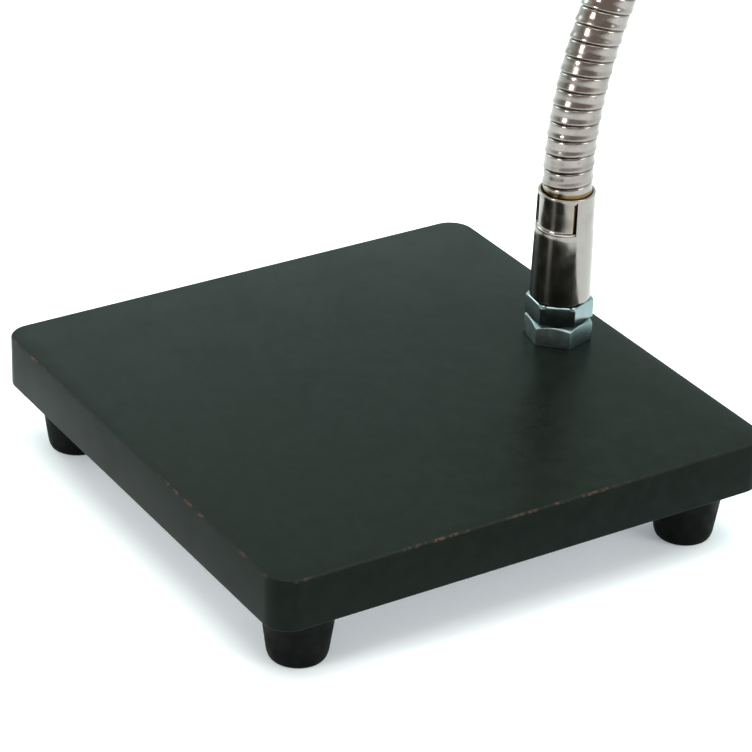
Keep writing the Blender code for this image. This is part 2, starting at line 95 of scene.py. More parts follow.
# Lights: name, place, side, watts, colour
LIGHTS = (
    ("overhead", (0.10, 0.0, 0.95), 0.95, 8.5, (1.0, 0.985, 0.975)),
    ("right_fill", (0.80, 0.45, 0.42), 0.40, 3.0, (1.0, 0.985, 0.965)),
    ("left_window", (0.05, -0.95, 0.34), 0.26, 3.6, (1.0, 0.99, 0.97)),
    ("back_card", (-1.15, -0.35, 0.60), 0.60, 4.5, (0.90, 1.0, 0.99)),
)

# Slab and cover
SLAB_CORNER = 7.0 * MM
SLAB_EDGE = 0.45 * MM
SLAB_GAP = 0.3 * MM  # between the slab and what lies in its recess or pocket
POCKET_LEFT = 14.0 * MM  # from the nipple's axis to the cable pocket's left wall
POCKET_FRONT = 16.5 * MM  # from the nipple's axis to the pocket's front wall
POCKET_CORNER = (38.0 * MM, 69.0 * MM)  # the pocket's right rear corner
STEM_BORE = 5.15  # mm, of the slab and the nuts
SCREW_BORE = 2.3  # mm
INLET_BORE = 4.9  # mm
INLET_BORE_SPAN = (62, 80)  # mm along +Y, from inside the pocket to past the rear edge
COVER_CORNER = 4.0 * MM
COVER_EDGE = 0.25 * MM

# Nuts on the stem
LOWER_NUT_FLATS = 16.6  # mm
UPPER_NUT_FLATS = 16.4  # mm
LOWER_NUT_TURN = math.radians(45)  # direction of one corner
UPPER_NUT_TURN = math.radians(52)

# Ferrule, with a milled recess on two sides
FERRULE_RADIUS = 8.45  # mm, at its lower end
FERRULE_SHOULDER = 19.9  # mm above the lower end, where the body gives way to the neck
FERRULE_NECK = 20.9  # mm above the lower end, where the neck starts
FERRULE_NECK_RADII = (7.99, 7.86)  # mm, at its lower and upper end
FERRULE_BORE = 5.3  # mm
MOUTH_RADIUS = 7.05  # mm, where the hose goes in
MOUTH_DEPTH = 1.3  # mm
RECESS_DIRECTION = math.radians(-70.5)
RECESS_HALF_ANGLE = math.radians(58.5)
RECESS_RADIUS = 7.3 * MM  # of the recess's floor
RECESS_GROOVE = 6.5 * MM  # radius of the undercut groove at each side of a recess
RECESS_GROOVE_ANGLE = math.radians(6.0)
RECESS_WALL_ANGLE = math.radians(0.8)
RECESS_LOW = 21.1 * MM  # above the ferrule's lower end
RECESS_BELOW_RIM = 1.0 * MM
GROOVE_BELOW_RIM = 1.7 * MM
RECESS_SCOOP = 1.0 * MM  # height of the rounded lower end

# Neck: the hose is one helical strip
HOSE_PITCH = 4.45 * MM
HOSE_STEPS = 48  # mesh steps in one turn of the strip
HOSE_BORE = 5.5 * MM
# One turn's outline from its lower edge to the next turn's: (share of the pitch, radius in mm)
HOSE_OUTLINE = (
    (0.0, 6.10),
    (0.02, 6.55),
    (0.045, 6.82),
    (0.085, 6.94),
    (0.13, 6.96),
    (0.19, 6.92),
    (0.27, 6.85),
    (0.35, 6.77),
    (0.42, 6.71),
    (0.48, 6.685),
    (0.62, 6.68),
    (0.84, 6.67),
    (0.90, 6.62),
    (0.94, 6.48),
    (0.975, 6.20),
)
LEAD_RADIUS = 1.3 * MM
# The lead's way from the inlet through the pocket and up the nipple, in mm
LEAD_ROUTE = (
    (30.0, 60.2, 25.4),
    (30.0, 55.0, 25.2),
    (26.5, 49.5, 24.2),
    (19.5, 47.0, 22.6),
    (12.0, 49.0, 21.3),
    (5.5, 54.0, 20.8),
    (1.5, 57.3, 22.4),
    (0.0, 58.5, 27.3),
    (0.0, 58.5, 33.8),
)

# Head
DOME_HEIGHT = 11.2 * MM
GRILLE_RADIUS = 10.85 * MM  # of the weave's middle surface
WIRE = 0.17 * MM
WIRE_WAVE = 0.16 * MM
UPRIGHT_WIRES = 64
FOAM_RADII = (8.5, 10.0)  # mm


# ---------------------------------------------------------------- meshes


def new_object(name, vertices, faces, smooth_angle=38.0):
    mesh = bpy.data.meshes.new(name)
    mesh.from_pydata([tuple(v) for v in vertices], [], [tuple(f) for f in faces])
    mesh.validate()
    obj = bpy.data.objects.new(name, mesh)
    bpy.context.scene.collection.objects.link(obj)
    face_outwards(mesh)
    shade(mesh, smooth_angle)
    return obj


def face_outwards(mesh):
    bm = bmesh.new()
    bm.from_mesh(mesh)
    bmesh.ops.recalc_face_normals(bm, faces=bm.faces)
    bm.to_mesh(mesh)
    bm.free()


def shade(mesh, smooth_angle=38.0):
    mesh.shade_smooth()
    mesh.set_sharp_from_angle(angle=math.radians(smooth_angle))


def rounded(corners, steps=4):
    """(radius, height) points of an outline with rounded corners. A corner is (r, z) or (r, z, fillet)."""
    points = []
    count = len(corners)
    for index, corner in enumerate(corners):
        here = Vector(corner[:2])
        fillet = corner[2] if len(corner) > 2 else 0.0
        if not fillet:
            points.append(tuple(here))
            continue
        before = Vector(corners[index - 1][:2]) - here
        after = Vector(corners[(index + 1) % count][:2]) - here
        reach = min(fillet, before.length * 0.49, after.length * 0.49)
        start = here + before.normalized() * reach
        end = here + after.normalized() * reach
        for step in range(steps + 1):
            t = step / steps
            points.append(tuple(start * (1 - t) ** 2 + here * 2 * t * (1 - t) + end * t**2))
    return points


def lathe(name, corners, matrix, segments=96, closed=True, steps=4, smooth_angle=38.0):
    """Turns an outline in millimetres round its own Z. An open outline starts and ends on the axis."""
    outline = [(r * MM, z * MM) for r, z in rounded(corners, steps)]
    vertices = []
    rings = []
    for radius, height in outline:
        if radius < 1e-7:
            rings.append([len(vertices)])
            vertices.append(matrix @ Vector((0, 0, height)))
            continue
        ring = []
        for segment in range(segments):
            angle = math.tau * segment / segments
            ring.append(len(vertices))
            vertices.append(matrix @ Vector((radius * math.cos(angle), radius * math.sin(angle), height)))
        rings.append(ring)
    pairs = list(zip(rings, rings[1:]))
    if closed:
        pairs.append((rings[-1], rings[0]))
    faces = []
    for first, second in pairs:
        for segment in range(segments):
            after = (segment + 1) % segments
            if len(first) == 1 and len(second) == 1:
                continue
            if len(first) == 1:
                faces.append((first[0], second[segment], second[after]))
            elif len(second) == 1:
                faces.append((first[segment], second[0], first[after]))
            else:
                faces.append((first[segment], second[segment], second[after], first[after]))
    return new_object(name, vertices, faces, smooth_angle)


def polar_grid(name, angles, rows, matrix, smooth_angle=38.0):
    """A closed ring of rows, each a function of the angle giving (radius, height) in metres."""
    vertices = []
    for row in rows:
        for angle in angles:
            radius, height = row(angle)
            vertices.append(matrix @ Vector((radius * math.cos(angle), radius * math.sin(angle), height)))
    count = len(angles)
    faces = []
    for row in range(len(rows)):
        below = row * count
        above = (row + 1) % len(rows) * count
        for column in range(count):
            after = (column + 1) % count
            faces.append((below + column, below + after, above + after, above + column))
    return new_object(name, vertices, faces, smooth_angle)


def threaded(name, radius, bore, low, high, pitch, depth, matrix, steps=40):
    """A tube or rod with a helical outer thread from low to high, all in millimetres. bore 0 makes a rod."""
    turns = (high - low) / pitch
    rows_per_turn = 6
    rows = []
    count = int(turns * rows_per_turn)
    for row in range(count + 1):
        share = row / count
        height = low + (high - low) * share
        fade = min(1.0, share * 12, (1 - share) * 12)

        def thread(angle, height=height, fade=fade):
            phase = (height / pitch - angle / math.tau) % 1.0
            cut = depth * (1 - abs(2 * phase - 1)) + depth * (1 - fade) * 0.6
            return (radius - min(cut, depth)) * MM, height * MM

        rows.append(thread)
    inner = max(bore, 0.02)
    rows.append(lambda angle: (inner * MM, high * MM))
    rows.append(lambda angle: (inner * MM, low * MM))
    angles = [math.tau * step / steps for step in range(steps)]
    return polar_grid(name, angles, rows, matrix, 60.0)


def slab_mesh(name, side, corner, profile, steps=10):
    """A square slab with round corners. profile rows are (inset, height); the first and last are capped."""
    rings = []
    vertices = []
    for inset, height in profile:
        ring = []
        radius = max(corner - inset, 0.05 * MM)
        reach = side / 2 - corner if inset < corner else side / 2 - inset
        for quarter in range(4):
            middle = math.radians(45 + 90 * quarter)
            centre = (math.copysign(reach, math.cos(middle)), math.copysign(reach, math.sin(middle)))
            for step in range(steps + 1):
                angle = middle + math.radians(90 * step / steps - 45)
                ring.append(len(vertices))
                vertices.append(
                    (centre[0] + radius * math.cos(angle), centre[1] + radius * math.sin(angle), height)
                )
        rings.append(ring)
    faces = [tuple(reversed(rings[0])), tuple(rings[-1])]
    count = len(rings[0])
    for first, second in zip(rings, rings[1:]):
        for index in range(count):
            after = (index + 1) % count
            faces.append((first[index], first[after], second[after], second[index]))
    return new_object(name, vertices, faces, 50.0)


def box_object(name, low, high):
    corners = [(x, y, z) for x in (low[0], high[0]) for y in (low[1], high[1]) for z in (low[2], high[2])]
    faces = ((0, 1, 3, 2), (4, 6, 7, 5), (0, 4, 5, 1), (2, 3, 7, 6), (0, 2, 6, 4), (1, 5, 7, 3))
    return new_object(name, corners, faces)


def carve(obj, cutters, operation="DIFFERENCE"):
    """Applies exact Booleans with throwaway cutters."""
    for cutter in cutters:
        modifier = obj.modifiers.new("carve", "BOOLEAN")
        modifier.operation = operation
        modifier.solver = "EXACT"
        modifier.object = cutter
    settle(obj)
    for cutter in cutters:
        bpy.data.objects.remove(cutter)
    return obj


def settle(obj):
    """Applies an object's modifiers."""
    graph = bpy.context.evaluated_depsgraph_get()
    mesh = bpy.data.meshes.new_from_object(obj.evaluated_get(graph))
    obj.modifiers.clear()
    obj.data = mesh


def join(name, objects):
    """One object from several, their meshes copied in place."""
    bm = bmesh.new()
    for obj in objects:
        mesh = obj.data.copy()
        mesh.transform(obj.matrix_world)
        bm.from_mesh(mesh)
        bpy.data.objects.remove(obj)
    mesh = bpy.data.meshes.new(name)
    bm.to_mesh(mesh)
    bm.free()
    joined = bpy.data.objects.new(name, mesh)
    bpy.context.scene.collection.objects.link(joined)
    return joined


def tube(name, points, radius, sides=10, cap=True):
    """A round tube along points, turned by parallel transport."""
    vertices = []
    faces = []
    count = len(points)
    side_way = None
    for index, point in enumerate(points):
        before = points[max(index - 1, 0)]
        after = points[min(index + 1, count - 1)]
        ahead = (after - before).normalized()
        if side_way is None:
            side_way = ahead.orthogonal().normalized()
        side_way = (side_way - ahead * side_way.dot(ahead)).normalized()
        other = ahead.cross(side_way)
        for side in range(sides):
            angle = math.tau * side / sides
            vertices.append(point + radius * (math.cos(angle) * side_way + math.sin(angle) * other))
    for index in range(count - 1):
        for side in range(sides):
            after = (side + 1) % sides
            low = index * sides
            high = low + sides
            faces.append((low + side, low + after, high + after, high + side))
    if cap:
        faces.append(tuple(reversed(range(sides))))
        faces.append(tuple(range((count - 1) * sides, count * sides)))
    return new_object(name, vertices, faces)


def smooth_route(points, steps):
    """Catmull-Rom points through a route's own points."""
    ends = [2 * points[0] - points[1]] + list(points) + [2 * points[-1] - points[-2]]
    route = []
    for a, b, c, d in zip(ends, ends[1:], ends[2:], ends[3:]):
        for step in range(steps):
            t = step / steps
            bend = (2 * a - 5 * b + 4 * c - d) * t**2 + (3 * b - a - 3 * c + d) * t**3
            route.append(0.5 * (2 * b + (c - a) * t + bend))
    return route + [points[-1]]


# ---------------------------------------------------------------- materials


class Nodes:
    """A material's node tree with short calls for the nodes that these materials use."""

    def __init__(self, name):
        self.material = bpy.data.materials.new(name)
        self.material.use_nodes = True
        self.tree = self.material.node_tree
        self.shader = self.tree.nodes["Principled BSDF"]
        coordinates = self.tree.nodes.new("ShaderNodeTexCoord")
        self.place = coordinates.outputs["Object"]

    def set(self, **values):
        for socket, value in values.items():
            self.shader.inputs[socket.replace("_", " ")].default_value = value

    def link(self, output, socket):
        self.tree.links.new(output, self.shader.inputs[socket])

    def put(self, kind, inputs=None, **settings):
        node = self.tree.nodes.new(kind)
        for key, value in settings.items():
            setattr(node, key, value)
        for key, value in (inputs or {}).items():
            if isinstance(value, bpy.types.NodeSocket):
                self.tree.links.new(value, node.inputs[key])
            else:
                node.inputs[key].default_value = value
        return node

    def noise(self, scale, detail=4.0, roughness=0.55, stretch=(1, 1, 1)):
        mapped = self.put("ShaderNodeMapping", {"Vector": self.place, "Scale": stretch})
        inputs = {"Vector": mapped.outputs[0], "Scale": scale, "Detail": detail, "Roughness": roughness}
        return self.put("ShaderNodeTexNoise", inputs).outputs["Fac"]

    def cells(self, scale, feature="F1"):
        inputs = {"Vector": self.place, "Scale": scale}
        return self.put("ShaderNodeTexVoronoi", inputs, feature=feature).outputs["Distance"]

    def spread(self, value, low, high, to_low=0.0, to_high=1.0):
        """Maps low..high to to_low..to_high, clamped and smoothed."""
        inputs = {0: value, 1: low, 2: high, 3: to_low, 4: to_high}
        return self.put("ShaderNodeMapRange", inputs, interpolation_type="SMOOTHSTEP").outputs[0]

    def mix(self, share, first, second):
        node = self.put("ShaderNodeMix", data_type="RGBA")
        for index, value in ((0, share), (6, first), (7, second)):
            if isinstance(value, bpy.types.NodeSocket):
                self.tree.links.new(value, node.inputs[index])
            elif index == 0:
                node.inputs[index].default_value = value
            else:
                node.inputs[index].default_value = (*value, 1.0)
        return node.outputs[2]

    def math(self, operation, *values):
        inputs = dict(enumerate(values))
        return self.put("ShaderNodeMath", inputs, operation=operation).outputs[0]

    def axis(self, index):
        split = self.put("ShaderNodeSeparateXYZ", {0: self.place})
        return split.outputs[index]

    def bump(self, height, strength, distance, under=None):
        inputs = {"Height": height, "Strength": strength, "Distance": distance}
        if under is not None:
            inputs["Normal"] = under
        return self.put("ShaderNodeBump", inputs).outputs[0]


def paint_material(slab_low, slab_high):
    """Satin black enamel with a fine mottle, a painted highlight along its top edges, and worn to a reddish
    brown along those edges.
    """
    n = Nodes("slab_paint")
    broad = n.spread(n.noise(9.0, 2.0), 0.35, 0.65)
    mottle = n.spread(n.noise(260.0, 5.0), 0.35, 0.68)
    colour = n.mix(broad, (0.0035, 0.0062, 0.0045), (0.0052, 0.0080, 0.0060))
    colour = n.mix(n.math("MULTIPLY", mottle, 0.5), colour, (0.008, 0.011, 0.009))
    half = (slab_high.x - slab_low.x) / 2
    rim = n.math("MAXIMUM", n.math("ABSOLUTE", n.axis(0)), n.math("ABSOLUTE", n.axis(1)))
    near_side = n.spread(rim, half - 0.75 * MM, half - 0.25 * MM)
    near_top = n.spread(n.axis(2), slab_high.z - 0.75 * MM, slab_high.z - 0.25 * MM)
    edge = n.math("MULTIPLY", near_side, near_top)
    lengths = n.spread(n.noise(26.0, 3.0), 0.44, 0.60)
    flecks = n.spread(n.noise(420.0, 6.0, 0.7), 0.50, 0.60)
    # painted highlight: a lighter grey band along the top edges, where the rounded edge catches light
    colour = n.mix(n.math("MULTIPLY", edge, 0.35), colour, (0.020, 0.022, 0.020))
    worn = n.math("MULTIPLY", n.math("MULTIPLY", edge, flecks), lengths)
    colour = n.mix(n.math("MULTIPLY", worn, 0.85), colour, (0.085, 0.042, 0.032))
    scuffs = n.spread(n.noise(38.0, 9.0, 0.8, (1, 9, 1)), 0.66, 0.74)
    colour = n.mix(n.math("MULTIPLY", scuffs, 0.25), colour, (0.014, 0.017, 0.014))
    n.link(colour, "Base Color")
    n.link(n.spread(n.noise(55.0, 6.0), 0.3, 0.7, 0.27, 0.36), "Roughness")
    grain = n.bump(n.noise(1400.0, 3.0), 0.22, 0.05 * MM)
    n.link(n.bump(n.noise(160.0, 4.0), 0.10, 0.12 * MM, grain), "Normal")
    n.link(n.spread(n.axis(2), slab_high.z - 0.4 * MM, slab_high.z, 0.034, 0.055), "Specular IOR Level")
    return n.material


def steel_material():
    """Sheet steel with a dull protective coat."""
    n = Nodes("cover_steel")
    streaks = n.noise(90.0, 6.0, 0.6, (1, 18, 1))
    colour = n.mix(n.spread(streaks, 0.3, 0.7), (0.20, 0.20, 0.205), (0.30, 0.30, 0.30))
    n.link(colour, "Base Color")
    n.link(n.spread(n.noise(40.0, 5.0), 0.3, 0.7, 0.32, 0.5), "Roughness")
    n.link(n.bump(streaks, 0.15, 0.05 * MM), "Normal")
    n.set(Metallic=1.0)
    return n.material


def rubber_material():
    """Matt moulded rubber with a faint dusty bloom."""
    n = Nodes("rubber")
    bloom = n.spread(n.noise(120.0, 6.0), 0.45, 0.75)
    n.link(n.mix(bloom, (0.0018, 0.0030, 0.0022), (0.0040, 0.0055, 0.0044)), "Base Color")
    n.link(n.spread(n.noise(300.0, 4.0), 0.3, 0.7, 0.55, 0.78), "Roughness")
    n.link(n.bump(n.noise(900.0, 4.0), 0.35, 0.06 * MM), "Normal")
    n.set(Specular_IOR_Level=0.07)
    return n.material


def zinc_material(name="zinc", smoothest=0.13, roughest=0.24):
    """Bright zinc with a bluish-green passivation, blotched, and with tooling marks."""
    n = Nodes(name)
    blotch = n.spread(n.noise(210.0, 4.0), 0.35, 0.66)
    colour = n.mix(blotch, (0.200, 0.262, 0.270), (0.245, 0.305, 0.312))
    haze = n.spread(n.noise(75.0, 3.0), 0.5, 0.75)
    n.link(n.mix(n.math("MULTIPLY", haze, 0.5), colour, (0.165, 0.230, 0.232)), "Base Color")
    n.link(n.spread(n.noise(500.0, 6.0), 0.3, 0.7, smoothest, roughest), "Roughness")
    marks = n.noise(300.0, 4.0, 0.6, (1, 1, 5))
    n.link(n.bump(marks, 0.06, 0.05 * MM), "Normal")
    n.set(Metallic=1.0)
    return n.material


def chrome_material(name="chrome", mouth=None):
    """Polished plating with faint haze. mouth (x, y, radius) is an upright bore, with painted brown shade
    inside.
    """
    n = Nodes(name)
    haze = n.spread(n.noise(95.0, 5.0), 0.42, 0.72)
    colour = n.mix(haze, (0.290, 0.266, 0.250), (0.245, 0.218, 0.196))
    if mouth:
        across = n.math("SUBTRACT", n.axis(0), mouth[0])
        along = n.math("SUBTRACT", n.axis(1), mouth[1])
        squares = n.math("ADD", n.math("POWER", across, 2.0), n.math("POWER", along, 2.0))
        reach = n.math("SQRT", squares)
        # painted shade: brown laid inside the mouth's bore, standing in for the dark gap round the hose
        inside = n.spread(reach, mouth[2] - 0.1 * MM, mouth[2] + 0.2 * MM, 1.0, 0.0)
        colour = n.mix(inside, colour, (0.16, 0.085, 0.03))
    n.link(colour, "Base Color")
    n.link(n.spread(n.noise(260.0, 5.0), 0.3, 0.75, 0.11, 0.24), "Roughness")
    n.link(n.bump(n.noise(150.0, 4.0), 0.05, 0.10 * MM), "Normal")
    n.set(Metallic=1.0)
    return n.material


def hose_material():
    """Plated steel strip, drawn along its length, with dark specks of grime."""
    n = Nodes("hose_strip")
    haze = n.spread(n.noise(140.0, 5.0), 0.4, 0.7)
    colour = n.mix(haze, (0.295, 0.262, 0.247), (0.235, 0.206, 0.190))
    spots = n.spread(n.noise(520.0, 3.0, 0.5), 0.68, 0.76)
    colour = n.mix(n.math("MULTIPLY", spots, 0.6), colour, (0.12, 0.10, 0.08))
    # painted shade: the strip turns brown at its lowest end, in and just above the ferrule's mouth, for the
    # dark gap there
    mouth_gap_shade = n.spread(n.axis(2), RIM_HEIGHT + 0.7 * MM, RIM_HEIGHT + 1.3 * MM, 1.0, 0.0)
    n.link(n.mix(mouth_gap_shade, colour, (0.15, 0.092, 0.035)), "Base Color")
    n.link(n.spread(n.noise(330.0, 5.0), 0.3, 0.7, 0.12, 0.27), "Roughness")
    n.link(n.bump(n.noise(700.0, 3.0, 0.5, (1, 1, 4)), 0.08, 0.05 * MM), "Normal")
    n.set(Metallic=1.0)
    return n.material


def plain_material(name, colours, roughness, metallic):
    """Two colours and a roughness spread by noise, each given with its noise scale and its limits."""
    n = Nodes(name)
    scale, low, high, first, second = colours
    n.link(n.mix(n.spread(n.noise(scale), low, high), first, second), "Base Color")
    n.link(n.spread(n.noise(roughness[0]), 0.3, 0.7, roughness[1], roughness[2]), "Roughness")
    n.set(Metallic=metallic)
    return n.material


def coat_material():
    """Satin black coating of the microphone's barrel."""
    n = Nodes("barrel_coat")
    mottle = n.spread(n.noise(420.0, 5.0), 0.35, 0.65)
    n.link(n.mix(mottle, (0.014, 0.015, 0.016), (0.026, 0.027, 0.028)), "Base Color")
    n.link(n.spread(n.noise(120.0, 4.0), 0.3, 0.7, 0.34, 0.46), "Roughness")
    n.link(n.bump(n.cells(2600.0), 0.25, 0.05 * MM), "Normal")
    return n.material


def wire_material():
    """Black-coated wire, worn a little to its metal."""
    n = Nodes("grille_wire")
    worn = n.spread(n.noise(800.0, 5.0), 0.60, 0.72)
    colour = n.mix(n.math("MULTIPLY", worn, 0.5), (0.030, 0.030, 0.033), (0.16, 0.155, 0.15))
    n.link(colour, "Base Color")
    n.link(n.spread(n.noise(300.0, 4.0), 0.3, 0.7, 0.28, 0.45), "Roughness")
    n.set(Metallic=0.6)
    return n.material


def foam_material():
    """Open-celled grey foam."""
    n = Nodes("foam")
    pores = n.cells(1500.0)
    colour = n.mix(n.spread(pores, 0.1, 0.6), (0.055, 0.055, 0.058), (0.012, 0.012, 0.013))
    n.link(colour, "Base Color")
    n.link(n.spread(n.noise(200.0), 0.3, 0.7, 0.85, 0.98), "Roughness")
    n.link(n.bump(pores, 0.9, 0.35 * MM), "Normal")
    return n.material


def board_material():
    """Green solder mask with a grid of pale pads and copper tracks under it."""
    n = Nodes("circuit_board")
    tracks = n.spread(n.cells(420.0, "DISTANCE_TO_EDGE"), 0.02, 0.07)
    colour = n.mix(tracks, (0.05, 0.22, 0.08), (0.015, 0.10, 0.04))
    pads = n.spread(n.cells(700.0), 0.16, 0.20)
    n.link(n.mix(pads, (0.55, 0.52, 0.42), colour), "Base Color")
    n.link(n.spread(n.noise(200.0), 0.3, 0.7, 0.25, 0.4), "Roughness")
    n.link(n.bump(tracks, 0.4, 0.05 * MM), "Normal")
    return n.material


def plastic_material():
    """The inlet insulator's black plastic."""
    n = Nodes("insulator_plastic")
    n.link(n.mix(n.noise(300.0), (0.012, 0.012, 0.013), (0.026, 0.026, 0.027)), "Base Color")
    n.link(n.spread(n.noise(500.0), 0.3, 0.7, 0.38, 0.55), "Roughness")
    n.link(n.bump(n.noise(1600.0), 0.2, 0.04 * MM), "Normal")
    return n.material


def jacket_material():
    """The lead's black jacket."""
    n = Nodes("lead_jacket")
    n.link(n.mix(n.noise(250.0), (0.016, 0.016, 0.017), (0.034, 0.034, 0.035)), "Base Color")
    n.link(n.spread(n.noise(400.0), 0.3, 0.7, 0.45, 0.62), "Roughness")
    n.link(n.bump(n.noise(1200.0, 3.0, 0.5, (1, 1, 0.2)), 0.2, 0.05 * MM), "Normal")
    return n.material


def floor_material():
    """White paper, with a little light of its own so that shadows on it stay pale."""
    n = Nodes("floor")
    n.link(n.mix(n.noise(3.0, 2.0), (0.84, 0.865, 0.88), (0.86, 0.88, 0.89)), "Base Color")
    n.set(Roughness=0.9, Specular_IOR_Level=0.1)
    n.set(Emission_Color=(0.78, 0.85, 0.93, 1.0), Emission_Strength=0.26)
    return n.material


def dress(obj, material):
    """Gives an object one material."""
    obj.data.materials.clear()
    obj.data.materials.append(material)
    return obj


SLAB_LOW, SLAB_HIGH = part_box("base_plate")
BRASS_COLOURS = (300.0, 0.35, 0.7, (0.66, 0.60, 0.44), (0.52, 0.47, 0.36))
GOLD_COLOURS = (900.0, 0.4, 0.7, (0.86, 0.65, 0.28), (0.70, 0.50, 0.22))
MATERIALS = {
    "black_paint": paint_material(SLAB_LOW, SLAB_HIGH),
    "plain_steel": steel_material(),
    "foot_rubber": rubber_material(),
    "zinc_plate": zinc_material(),
    "chrome_plate": chrome_material(),
    "barrel_coat": coat_material(),
    "grille_wire": wire_material(),
    "grey_foam": foam_material(),
    "capsule_rubber": rubber_material(),
    "capsule_shell": plain_material("capsule_shell", BRASS_COLOURS, (500.0, 0.22, 0.38), 1.0),
    "circuit_board": board_material(),
    "black_insulator": plastic_material(),
    "gold_plate": plain_material("gold_plate", GOLD_COLOURS, (700.0, 0.14, 0.28), 1.0),
    "lead_jacket": jacket_material(),
}
RIM_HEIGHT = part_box("lower_ferrule")[1].z
HOSE_STRIP = hose_material()
DULL_ZINC = zinc_material("zinc_dull", 0.34, 0.46)
STEM_LOW, STEM_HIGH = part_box("lower_ferrule")
STEM_MIDDLE = (STEM_LOW + STEM_HIGH) / 2
FERRULE_CHROME = chrome_material("ferrule_chrome", (STEM_MIDDLE.x, STEM_MIDDLE.y, (MOUTH_RADIUS + 0.1) * MM))


def finish_piece(obj, body, slot, *nodes):
    """A piece on one body, in its slot's material, standing for CAD nodes."""
    dress(obj, MATERIALS[slot])
    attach(obj, body)
    if nodes:
        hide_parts(*nodes)
    return obj


# ---------------------------------------------------------------- base


def axis_of(node):
    """The vertical axis of an upright CAD node, as a matrix at table height."""
    low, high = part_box(node)
    middle = (low + high) / 2
    return Matrix.Translation((middle.x, middle.y, 0))


def heights(node):
    """The lowest and highest point of a CAD node, in millimetres."""
    low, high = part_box(node)
    return low.z / MM, high.z / MM


def rearward(place):
    """A frame whose Z points along world +Y, on the line through a place."""
    return Matrix.Translation((place.x, 0, place.z)) @ Matrix.Rotation(math.radians(-90), 4, "X")


def foot_screws():
    return [node for node in frame["nodes"] if node.startswith("foot_screw_")]


def quarter(radius, start, end, steps, centre):
    """Points of an arc, for edge profiles given as (inset, height)."""
    points = []
    for step in range(steps + 1):
        angle = math.radians(start + (end - start) * step / steps)
        points.append((centre[0] + radius * math.cos(angle), centre[1] + radius * math.sin(angle)))
    return points


def upright_cylinder(name, x, y, radius, low, high, segments=64):
    corners = [(0, low), (radius, low), (radius, high), (0, high)]
    return lathe(name, corners, Matrix.Translation((x, y, 0)), segments, closed=False)


def build_slab():
    low, high = SLAB_LOW, SLAB_HIGH
    side = high.x - low.x
    cover_low, cover_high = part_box("bottom_cover")
    recess_inset = (side - (cover_high.x - cover_low.x)) / 2 - SLAB_GAP
    recess_top = cover_high.z + SLAB_GAP
    edge = SLAB_EDGE
    profile = [(recess_inset, recess_top), (recess_inset, low.z)]
    profile += quarter(edge, -90, -180, 4, (edge, low.z + edge))
    profile += quarter(edge, 180, 90, 5, (edge, high.z - edge))
    slab = slab_mesh("slab", side, SLAB_CORNER, profile, steps=14)
    nipple = axis_of("threaded_nipple").translation
    pocket_low = (nipple.x - POCKET_LEFT, nipple.y - POCKET_FRONT, low.z - 1 * MM)
    pocket_high = (*POCKET_CORNER, heights("under_washer")[1] * MM + SLAB_GAP)
    cutters = [box_object("pocket", pocket_low, pocket_high)]
    cutters.append(upright_cylinder("bore", nipple.x, nipple.y, STEM_BORE, low.z / MM, high.z / MM + 3))
    inlet_low, inlet_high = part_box("inlet_shell")
    inlet = (inlet_low + inlet_high) / 2
    start, end = INLET_BORE_SPAN
    inlet_bore = [(0, start), (INLET_BORE, start), (INLET_BORE, end), (0, end)]
    cutters.append(lathe("inlet_bore", inlet_bore, rearward(inlet), 48, closed=False))
    for node in foot_screws():
        place = axis_of(node).translation
        top = heights(node)[1] + 1.0
        cutters.append(upright_cylinder("hole", place.x, place.y, SCREW_BORE, low.z / MM - 2, top, 24))
    carve(slab, cutters)
    shade(slab.data, 50.0)
    finish_piece(slab, BASE, "black_paint", "base_plate")


def build_cover():
    low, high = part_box("bottom_cover")
    edge = COVER_EDGE
    profile = quarter(edge, -90, -180, 3, (edge, low.z + edge))
    profile += quarter(edge, 180, 90, 3, (edge, high.z - edge))
    cover = slab_mesh("cover_sheet", high.x - low.x, COVER_CORNER, profile, steps=8)
    cutters = []
    start, end = low.z / MM - 2, high.z / MM + 2
    for node in foot_screws():
        place = axis_of(node).translation
        cutters.append(upright_cylinder("hole", place.x, place.y, SCREW_BORE, start, end, 32))
    carve(cover, cutters)
    shade(cover.data, 50.0)
    finish_piece(cover, BASE, "plain_steel", "bottom_cover")


def cross_recess(matrix, bottom, size=3.6, depth=1.6):
    """Two crossed tapered blades, the cutter of a cross-head screw seen from below."""
    blades = []
    for turn in (0, 90):
        half = size / 2 * MM
        tip = size / 5 * MM
        thick = 0.42 * MM
        low = (bottom - 0.3) * MM
        high = (bottom + depth) * MM
        vertices = [(-half, -thick, low), (half, -thick, low), (half, thick, low), (-half, thick, low)]
        vertices += [(-tip, -thick, high), (tip, -thick, high), (tip, thick, high), (-tip, thick, high)]
        faces = [(0, 1, 2, 3), (4, 7, 6, 5), (0, 4, 5, 1), (1, 5, 6, 2), (2, 6, 7, 3), (3, 7, 4, 0)]
        rotation = matrix @ Matrix.Rotation(math.radians(turn), 4, "Z")
        blades.append(new_object("blade", [rotation @ Vector(v) for v in vertices], faces))
    return blades


